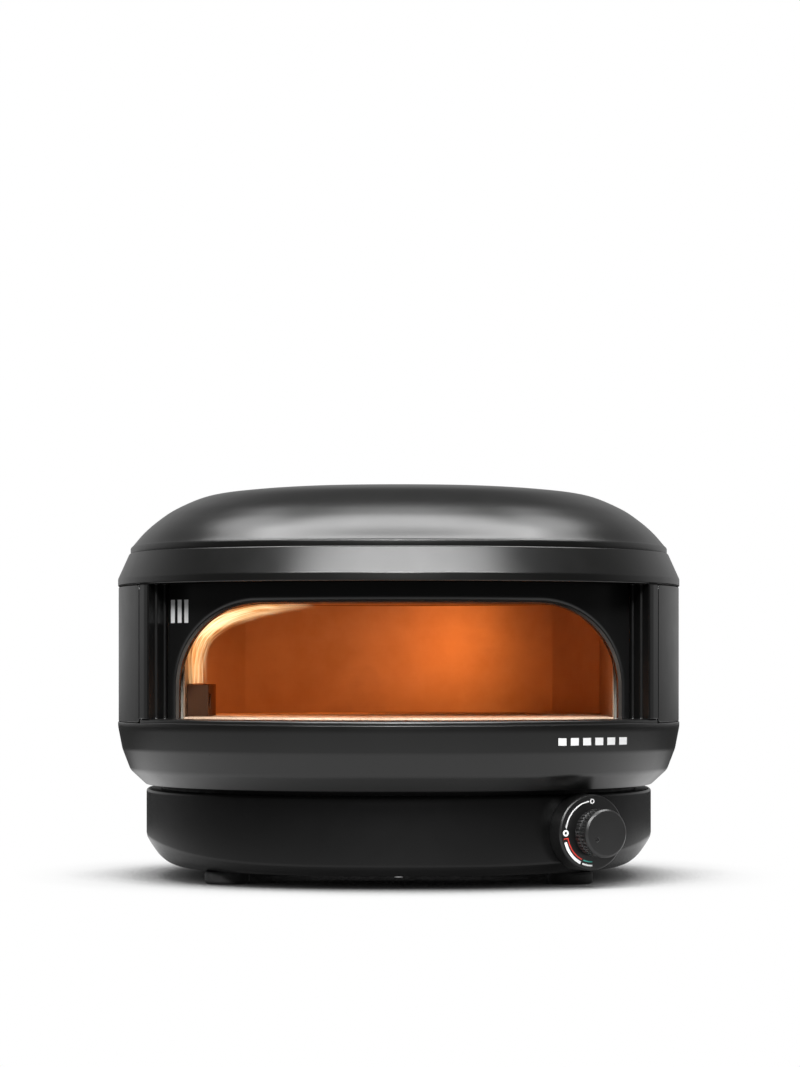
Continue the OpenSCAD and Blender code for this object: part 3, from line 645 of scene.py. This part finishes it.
def posts():
    """The right post and its mirror image."""
    right = post_outline()
    left = [(-x, y) for x, y in right][::-1]
    return [prism(f"front_post_{side}", outline, SILL_Z + 0.1, WALL_TOP_Z - 0.2, 0.5)
            for side, outline in (("right", right), ("left", left))]


def fascia_y(x, depth):
    """Where the curved front lies at x, moved back by depth."""
    r = FASCIA_R - depth
    return FASCIA_CY - math.sqrt(r * r - min(abs(x), r - 1) ** 2)


def arch_path(grow, foot_z):
    """The arch from its left foot, over the top, to its right foot, as (x, z)."""
    w = MOUTH_W + grow
    top = MOUTH_TOP + grow
    r = MOUTH_R + grow
    points = [(-w, foot_z + (top - r - foot_z) * i / SIDE_STEPS) for i in range(SIDE_STEPS)]
    for i in range(ARC_STEPS + 1):
        a = math.pi / 2 * i / ARC_STEPS
        points.append((r - w - r * math.cos(a), top - r + r * math.sin(a)))
    points += [(r - w + (w - r) * i / TOP_STEPS, top) for i in range(1, TOP_STEPS + 1)]
    return points + [(-x, z) for x, z in points[-2::-1]]


def frame_path(foot_z, top_z):
    """The edge of the recessed front, with one point for each point of arch_path."""
    corner_z = MOUTH_TOP - MOUTH_R
    corner_x = MOUTH_R - MOUTH_W
    upright_share = 0.4
    points = [(-FASCIA_X, foot_z + (corner_z - foot_z) * i / SIDE_STEPS) for i in range(SIDE_STEPS)]
    for i in range(ARC_STEPS + 1):
        share = i / ARC_STEPS
        if share <= upright_share:
            points.append((-FASCIA_X, corner_z + (top_z - corner_z) * share / upright_share))
        else:
            along = (share - upright_share) / (1 - upright_share)
            points.append((-FASCIA_X + (FASCIA_X + corner_x) * along, top_z))
    points += [(corner_x - corner_x * i / TOP_STEPS, top_z) for i in range(1, TOP_STEPS + 1)]
    return points + [(-x, z) for x, z in points[-2::-1]]


def fascia():
    """The recessed black front, rolled inward round the arch."""
    foot = SILL_Z + 0.1
    edge = frame_path(foot, WALL_TOP_Z + 0.4)
    arch = arch_path(LIP_R, foot)
    paths = []
    flat_steps = 6
    roll_steps = 7
    for k in range(flat_steps + 1):
        s = k / flat_steps
        flat = [(e[0] + (a[0] - e[0]) * s, e[1] + (a[1] - e[1]) * s) for e, a in zip(edge, arch)]
        paths.append([(x, fascia_y(x, 0), z) for x, z in flat])
    for k in range(1, roll_steps + 1):
        turn = math.pi / 2 * k / roll_steps
        grow = LIP_R * (1 - math.sin(turn))
        depth = LIP_R * (1 - math.cos(turn))
        paths.append([(x, fascia_y(x, depth), z) for x, z in arch_path(grow, foot)])
    paths.append([(x, fascia_y(x, LIP_R + 4), z) for x, z in arch_path(0, foot)])
    obj = grid_from_paths("fascia_front", paths, 60)
    thicken(obj, 1.0, 1.0)
    return obj


def throat():
    """The steel lining behind the fascia's lip."""
    foot = SILL_Z + 0.3
    depths = [LIP_R + 3.4, LIP_R + 5, LIP_R + 6, 16, 22, THROAT_DEPTH]
    grows = [0.0, -0.1, -0.2, -0.6, -0.8, -0.8]
    paths = [[(x, fascia_y(x, d), z) for x, z in arch_path(g, foot)] for d, g in zip(depths, grows)]
    obj = grid_from_paths("throat_lining", paths, 50)
    thicken(obj, 0.8, 1.0)
    return obj


def chamber_plan():
    """Half plan of the chamber wall from the right front to the rear middle, then mirrored."""
    before_corner = (CHAMBER_X, CORNER_Y - 6)
    after_corner = (CHAMBER_X - 3.2, CORNER_Y + 5.4)
    half = [(CHAMBER_X, -112.0), (CHAMBER_X, -40.0), before_corner]
    half += rounded([before_corner, (CHAMBER_X, CORNER_Y), after_corner], 4, 4, closed=False)[1:]
    start = math.atan2(REAR_CORNER_Y - REAR_CY, CORNER_X)
    arc_steps = 40
    for i in range(arc_steps + 1):
        a = start + (math.pi / 2 - start) * i / arc_steps
        half.append((REAR_R * math.cos(a), REAR_CY + REAR_R * math.sin(a)))
    return half + [(-x, y) for x, y in half[-2::-1]]


def chamber():
    """The chamber's upright wall in one sheet."""
    plan = chamber_plan()
    levels = [116.6, 140, 170, 200, 225, 233.9]
    obj = grid_from_paths("chamber_wall_sheet", [[(x, y, z) for x, y in plan] for z in levels], 25)
    thicken(obj, 1.2, 1.0)
    return obj


def base_shell():
    """The housing under the body: its undercut lower edge rises to the sides, and its top edge is rolled."""
    lower = smooth_curve([
        (192.0, 233.4, FOOT_H, FOOT_H), (198.5, 234.6, 11.2, 13.4), (205.5, 236.6, 12.8, 19.5),
        (212.0, 238.8, 15.6, 28.6), (215.4, 239.8, 18.0, 34.6)], 5)
    wall = [(216.0, 240.0, 20.0, 38.0), (216.0, 240.0, 46.0, 56.0), (216.0, 240.0, 72.0, 72.0)]
    crown = [(215.9, 239.9, 73.2, 73.2), (215.4, 239.4, 74.2, 74.2), (214.4, 238.4, 74.85, 74.85),
             (213.0, 237.0, BASE_TOP_Z, BASE_TOP_Z), (203.0, 228.0, BASE_TOP_Z, BASE_TOP_Z),
             (203.0, 228.0, 73.4, 73.4)]
    rings = [ring(a, b, z, s) for a, b, z, s in lower + wall + crown]
    obj = loft("base_housing_shell", rings, sharp_deg=40)
    thicken(obj, 1.6)
    cut_hole(obj, DIAL_POS, (math.sin(DIAL_TURN), -math.cos(DIAL_TURN), 0), DIAL_HOLE_R, 60)
    inlet_low, inlet_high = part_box("inlet_fitting")
    middle = (inlet_low + inlet_high) / 2 / MM
    cut_hole(obj, (middle.x, BASE_BACK_Y, middle.z), (0, 1, 0), INLET_HOLE_R, 40)
    return obj


def cut_hole(obj, at, axis, radius, length):
    """Cuts a round hole through a shell."""
    turned = Vector(axis).to_track_quat("Z", "Y").to_matrix()
    count = 96
    rings = []
    for z in (-length / 2, length / 2):
        points = []
        for i in range(count):
            t = 2 * math.pi * i / count
            points.append(Vector(at) + turned @ Vector((radius * math.cos(t), radius * math.sin(t), z)))
        rings.append(points)
    cutter = loft("cutter", rings, cap_first=True, cap_last=True)
    cutter.data.shade_flat()
    cut_away(obj, cutter)


# ---------------------------------------------------------------- dial and feet

def boss():
    """The round dial plate that the knob stands on."""
    profile = rounded([(9.0, -3), (9.0, 0), (29.6, 0), (30.8, -1.2), (30.8, -24), (28.8, -24), (28.8, -3)],
                      [0, 0.3, 0.5, 0.6, 0.5, 0, 0], 4, closed=False)
    return lathe("dial_boss_ring", profile[::-1], dial_place, 160)


def knob_ribs(i, r, z):
    """Ribbed flanks: six points in eight stand out, two are cut in, on the two knurled rows only."""
    on_rows = 4.6 < z < 9.9 or 11.5 < z < 17.2
    rib_depth = 0.9
    return r - rib_depth if on_rows and i % 8 < 2 else r


def grip():
    """The knob's flank, with a groove between its two ribbed rows."""
    rows = [(5.2, 3.6), (17.6, 3.6), (18.6, 4.0), (19.3, 4.7), (19.3, 4.9), (19.3, 9.7), (18.7, 10.0),
            (18.1, 10.3), (18.1, 11.1), (18.7, 11.4), (19.3, 11.7), (19.3, 17.0), (19.1, 17.5), (16.3, 17.5)]
    return lathe("knob_grip_ribbed", rows, dial_place, 320, knob_ribs, 20)


def cap():
    """The knob's front with a bevelled rim and a dimple that points to the setting."""
    face_z = 21.6
    corners = [(16.2, 15.7), (16.2, 17.7), (19.6, 17.7), (19.6, 20.0), (17.9, face_z), (14.4, face_z)]
    profile = rounded(corners, [0, 0, 0.3, 0.5, 0.5, 0], 4, closed=False)
    profile += [(r, face_z) for r in (12.8, 11.2, 9.5, 8.0, 4.0, 0.6)]
    obj = lathe("knob_cap_front", profile, dial_place, 160)
    angle = math.radians(208)
    reach = 10.5
    middle = (reach * math.cos(angle), reach * math.sin(angle), face_z + 0.3)
    dimple = lathe("dimple", [(0.4, -1.7), (1.1, -1.4), (1.7, -0.4), (1.7, 1.5), (0.4, 1.6)],
                   lambda p: dial_place([a + b for a, b in zip(middle, p)]), 32)
    cut_away(obj, dimple)
    return obj


def foot(name, node):
    """A rubber foot with a hollow for its screw, placed where the CAD foot stands."""
    low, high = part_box(node)
    middle = (low + high) / 2 / MM
    corners = [(4.9, 4.0), (4.9, 0), (16.6, 0), (18.4, 1.8), (18.4, 8.4), (17.0, FOOT_H), (2.7, FOOT_H)]
    profile = rounded(corners, [0, 0.6, 1.2, 1.2, 1.2, 1.0, 0], 4, closed=False)
    return lathe(name, profile, lambda p: (middle.x + p[0], middle.y + p[1], p[2]), 96)


def spring():
    """The return spring round the spindle."""
    turns, per_turn, sides = 4, 32, 10
    coil_r, wire_r, length = 6.0, 0.55, 10.5
    steps = turns * per_turn
    rings = []
    for i in range(steps + 1):
        a = 2 * math.pi * i / per_turn
        middle_z = SPRING_BACK + wire_r + (length - 2 * wire_r) * i / steps
        points = []
        for j in range(sides):
            b = 2 * math.pi * j / sides
            r = coil_r + wire_r * math.cos(b)
            points.append(dial_place((r * math.cos(a), r * math.sin(a), middle_z + wire_r * math.sin(b))))
        rings.append(points)
    return loft("valve_spring_coil", rings, cap_first=True, cap_last=True)


# ---------------------------------------------------------------- generic marks

def mark(name, cells, place):
    """A thin printed mark: each cell is (u0, u1, v0, v1), placed on the surface by place(u, v, lift)."""
    points, faces = [], []
    steps = 8
    lift = 0.25
    for u0, u1, v0, v1 in cells:
        start = len(points)
        for i in range(steps + 1):
            u = u0 + (u1 - u0) * i / steps
            points += [place(u, v0, lift), place(u, v1, lift)]
        firsts = [start + 2 * i for i in range(steps)]
        faces += [(a, a + 2, a + 3, a + 1) for a in firsts]
    obj = make_mesh(name, points, faces)
    solid = obj.modifiers.new("thickness", "SOLIDIFY")
    solid.thickness = 0.12 * MM
    return obj


def on_fascia(u, v, lift):
    """A point on the recessed front."""
    return u, fascia_y(u, 0) - lift, v


def on_skirt(u, v, lift):
    """A point on the upper band of the skirt."""
    inset = SKIRT_BAND_INSET * (SKIRT_BAND_TOP_Z - v) / (SKIRT_BAND_TOP_Z - SKIRT_BAND_LOW_Z)
    return u, plan_front_y(u, inset) - lift, v


# ---------------------------------------------------------------- build

stand_for(dome(), "oven", "powder_coat", POWDER, "dome_cover")
stand_for(shoulder(), "oven", "powder_coat", POWDER, "shoulder_band")
stand_for(visor_underside(), "oven", "powder_coat", UNDERSIDE)
stand_for(side_wall(), "oven", "powder_coat", POWDER, "side_shell")
stand_for(skirt(), "oven", "powder_coat", POWDER, "lower_skirt")
stand_for(sill(), "oven", "powder_coat", POWDER, "sill_plate")
for post in posts():
    stand_for(post, "oven", "frame_black", FRAME_BLACK, "front_frame")
stand_for(fascia(), "oven", "fascia_black", FASCIA_BLACK, "fascia_panel")
stand_for(throat(), "oven", "heat_steel", HEAT, "throat")
stand_for(chamber(), "oven", "chamber_steel", CHAMBER, "chamber_wall")
stand_for(base_shell(), "oven", "base_black", BASE_BLACK, "base_housing")
stand_for(boss(), "oven", "boss_black", BOSS_BLACK, "dial_boss")
stand_for(grip(), "knob", "knob_black", KNOB_BLACK, "knob_grip")
stand_for(cap(), "knob", "knob_black", KNOB_BLACK, "knob_cap")
spring_coil = stand_for(spring(), "oven", "spring_steel", SPRING, "valve_spring")
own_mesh(spring_coil)
for corner in ("front_left", "front_right", "rear_left", "rear_right"):
    foot_node = f"foot_{corner}"
    stand_for(foot(f"{foot_node}_pad", foot_node), "oven", "foot_rubber", RUBBER, foot_node)
soften(frame["nodes"]["pizza_stone"], 1.0)
soften(frame["nodes"]["burner_box"], 0.4)

BARS = [(-187 + 5.8 * i, -183.6 + 5.8 * i, 214, 233) for i in range(3)]
stand_for(mark("front_mark", BARS, on_fascia), "oven", "print_white", WHITE)
BLOCKS = [(127 + 10.2 * i, 133.6 + 10.2 * i, 115.2, 121.2) for i in range(6)]
stand_for(mark("skirt_mark", BLOCKS, on_skirt), "oven", "print_white", WHITE)


# ---------------------------------------------------------------- stage, camera and light

def area_light(name, at, aim, size, size_y, energy, color=grey(1), spread=180):
    """A rectangular light, with its places in metres and its spread in degrees."""
    data = bpy.data.lights.new(name, "AREA")
    data.shape = "RECTANGLE"
    data.size = size
    data.size_y = size_y
    data.energy = energy
    data.color = color
    data.spread = math.radians(spread)
    obj = bpy.data.objects.new(name, data)
    obj.location = at
    obj.rotation_euler = (Vector(aim) - Vector(at)).to_track_quat("-Z", "Y").to_euler()
    bpy.context.scene.collection.objects.link(obj)


def warm_light(name, at, aim, size, energy, color):
    """Firelight inside the chamber. Its places and its size are in millimetres."""
    place, target = to_m([at, aim])
    area_light(name, place, target, size[0] * MM, size[1] * MM, energy, color, 100)


def bare_material(name):
    """A material with an empty node tree, for the stage."""
    material = bpy.data.materials.new(name)
    material.use_nodes = True
    material.node_tree.nodes.clear()
    return material, material.node_tree


def split_view(tree, seen, lit, out):
    """Shows the camera one shader and every other ray another."""
    path = add(tree, "ShaderNodeLightPath")
    mix = add(tree, "ShaderNodeMixShader")
    tree.links.new(path.outputs["Is Camera Ray"], mix.inputs[0])
    tree.links.new(lit.outputs[0], mix.inputs[1])
    tree.links.new(seen.outputs[0], mix.inputs[2])
    tree.links.new(mix.outputs[0], out.inputs[0])


def stage_floor():
    """A white floor that glows evenly, with a painted contact shadow where the oven stands close above it;
    what reflections see of it is a painted pool of glow near the oven, darkened by the same painted shadow.
    """
    half = 12.0
    mesh = bpy.data.meshes.new("floor")
    corners = [(-half, -half, 0), (half, -half, 0), (half, half, 0), (-half, half, 0)]
    mesh.from_pydata(corners, [], [(0, 1, 2, 3)])
    floor = bpy.data.objects.new("floor", mesh)
    bpy.context.scene.collection.objects.link(floor)
    material, tree = bare_material("floor_white_painted_shadow")
    out = add(tree, "ShaderNodeOutputMaterial")
    seen = add(tree, "ShaderNodeEmission", Strength=1.0)
    reflected = add(tree, "ShaderNodeEmission", Strength=1.0)
    # Painted contact shadow: ambient occlusion, its normal tilted forward so the shade falls behind the oven
    # as if from a front light.
    near = add(tree, "ShaderNodeAmbientOcclusion", samples=8, Distance=0.16, Normal=(0, -0.45, 0.89))
    shade = ramp(tree, near.outputs["AO"], [(0.0, grey(0.0)), (0.4, grey(0.12)), (0.55, grey(0.62)),
                                            (0.61, grey(0.82)), (0.66, grey(0.93)), (0.82, grey(1.0))])
    tree.links.new(shade, seen.inputs["Color"])
    # Painted pool of light for reflections: the floor glows brightly near the oven and fades to dark further
    # out, times the painted shadow.
    away = add(tree, "ShaderNodeVectorMath", operation="LENGTH")
    tree.links.new(coordinates(tree), away.inputs[0])
    reach = span(tree, away.outputs["Value"], 0.0, 1.0, from_high=2.0)
    painted_glow_falloff = ramp(tree, reach, [(0.2, grey(1.1)), (0.3, grey(0.55)), (0.42, grey(0.04))])
    tree.links.new(multiply(tree, painted_glow_falloff, shade), reflected.inputs["Color"])
    split_view(tree, seen, reflected, out)
    floor.data.materials.append(material)


def world():
    """White where the camera looks, and a studio for reflections: white behind, dim in front."""
    made = bpy.data.worlds.new("studio")
    made.use_nodes = True
    bpy.context.scene.world = made
    tree = made.node_tree
    tree.nodes.clear()
    out = add(tree, "ShaderNodeOutputWorld")
    seen = add(tree, "ShaderNodeBackground", Color=(1, 1, 1, 1), Strength=1.0)
    lit = add(tree, "ShaderNodeBackground", Strength=1.0)
    source = add(tree, "ShaderNodeTexCoord")
    split = add(tree, "ShaderNodeSeparateXYZ")
    tree.links.new(source.outputs["Generated"], split.inputs[0])
    depth = span(tree, split.outputs["Y"], 0.0, 1.0, from_low=-0.5)
    back = ramp(tree, depth, [(0.0, grey(0.05)), (0.2, grey(0.025)), (0.75, grey(0.5))])
    height = ramp(tree, split.outputs["Z"], [(0.0, grey(1)), (0.3, grey(0.8)), (0.6, grey(0.18))])
    tree.links.new(multiply(tree, back, height), lit.inputs["Color"])
    split_view(tree, seen, lit, out)


def camera():
    """Level with the oven's middle, straight in front, with the frame shifted up over the horizon."""
    data = bpy.data.cameras.new("camera")
    data.sensor_width = 36.0
    data.lens = 126.3
    data.shift_y = 0.125
    data.shift_x = 0.0012
    data.clip_end = 50
    obj = bpy.data.objects.new("camera", data)
    obj.location = (0, -3.2255, 0.178)
    obj.rotation_euler = (math.radians(90), 0, 0)
    bpy.context.scene.collection.objects.link(obj)
    bpy.context.scene.camera = obj


def flame_material():
    """Streaky flame, from orange to pale yellow, that thins out at its tip and towards one edge."""
    material, tree = bare_material("flame")
    out = add(tree, "ShaderNodeOutputMaterial")
    glow = add(tree, "ShaderNodeEmission", Strength=2.1)
    clear = add(tree, "ShaderNodeBsdfTransparent")
    mix = add(tree, "ShaderNodeMixShader")
    flow = add(tree, "ShaderNodeUVMap")
    stretched = add(tree, "ShaderNodeMapping")
    stretched.inputs["Scale"].default_value = (2.2, 5.0, 1.0)
    tree.links.new(flow.outputs["UV"], stretched.inputs["Vector"])
    streak = add(tree, "ShaderNodeTexNoise", Scale=1.6, Detail=5.0, Roughness=0.55, Distortion=0.8)
    tree.links.new(stretched.outputs["Vector"], streak.inputs["Vector"])
    colors = [(0.35, (0.9, 0.24, 0.04)), (0.48, (1.0, 0.52, 0.18)), (0.6, (1.0, 0.80, 0.48))]
    tree.links.new(ramp(tree, streak.outputs["Fac"], colors), glow.inputs["Color"])
    split = add(tree, "ShaderNodeSeparateXYZ")
    tree.links.new(flow.outputs["UV"], split.inputs[0])
    along = ramp(tree, split.outputs["X"], [(0.0, grey(0.35)), (0.45, grey(0.85)), (0.98, grey(0))])
    across = ramp(tree, split.outputs["Y"], [(0.0, grey(0.9)), (0.5, grey(0.7)), (1.0, grey(0))])
    gaps = ramp(tree, streak.outputs["Fac"], [(0.36, grey(0.15)), (0.6, grey(1))])
    tree.links.new(multiply(tree, multiply(tree, along, across), gaps), mix.inputs[0])
    tree.links.new(clear.outputs[0], mix.inputs[1])
    tree.links.new(glow.outputs[0], mix.inputs[2])
    tree.links.new(mix.outputs[0], out.inputs[0])
    return material


def flames():
    """Sheets of flame from the burner, up the wall and along under the roof. They belong to the stage."""
    material = flame_material()
    outer = smooth_curve([
        (-176, 164), (-177, 186), (-170, 206), (-153, 221), (-126, 229), (-100, 231), (-72, 231)], 8)
    inner = smooth_curve([
        (-167, 164), (-166, 186), (-161, 200), (-144, 211), (-122, 219), (-98, 224), (-70, 229)], 8)
    sheet_count, rows = 3, 7
    first_y, pitch, lean = -88, 34, 1.5
    wave, wave_turn = 4, 0.35
    for k in range(sheet_count):
        paths = []
        for r in range(rows):
            v = r / (rows - 1)
            path = []
            for i, (a, b) in enumerate(zip(outer, inner)):
                x = a[0] + (b[0] - a[0]) * v + lean * k
                y = first_y + pitch * k + wave * math.sin(wave_turn * i + k)
                path.append((x, y, a[1] + (b[1] - a[1]) * v))
            paths.append(path)
        sheet = grid_from_paths(f"flame_{k}", paths, 180)
        layer = sheet.data.uv_layers.new(name="flow")
        columns = len(outer)
        for loop in sheet.data.loops:
            r, i = divmod(loop.vertex_index, columns)
            layer.data[loop.index].uv = (i / (columns - 1), r / (rows - 1))
        sheet.data.materials.append(material)


stage_floor()
world()
camera()
flames()
area_light("overhead", (0, -0.22, 1.8), (0, -0.22, 0.3), 2.2, 0.66, 50)
area_light("overhead_left", (-1.0, 0.3, 1.75), (0, -0.1, 0.3), 1.0, 0.6, 8)
area_light("overhead_right", (1.0, 0.3, 1.75), (0, -0.1, 0.3), 1.0, 0.6, 8)
area_light("front_top", (0, -1.48, 1.45), (0, -0.27, 0.26), 2.2, 0.52, 68)
area_light("front_key", (0, -2.7, 1.3), (0, 0, 0.2), 0.35, 0.35, 36)
warm_light("fire_on_rear", (-80, 0, 205), (-40, 200, 175), (90, 30), 0.085, (1.0, 0.26, 0.045))
warm_light("fire_on_left_wall", (-125, 10, 195), (-178, 60, 170), (40, 60), 0.035, (1.0, 0.28, 0.06))
warm_light("fire_on_stone", (10, -125, 222), (10, -125, 130), (260, 20), 0.060, (1.0, 0.42, 0.18))
warm_light("fire_low", (-150, -70, 190), (-120, -40, 150), (25, 25), 0.02, (1.0, 0.42, 0.12))

bpy.context.scene.view_settings.view_transform = "Standard"
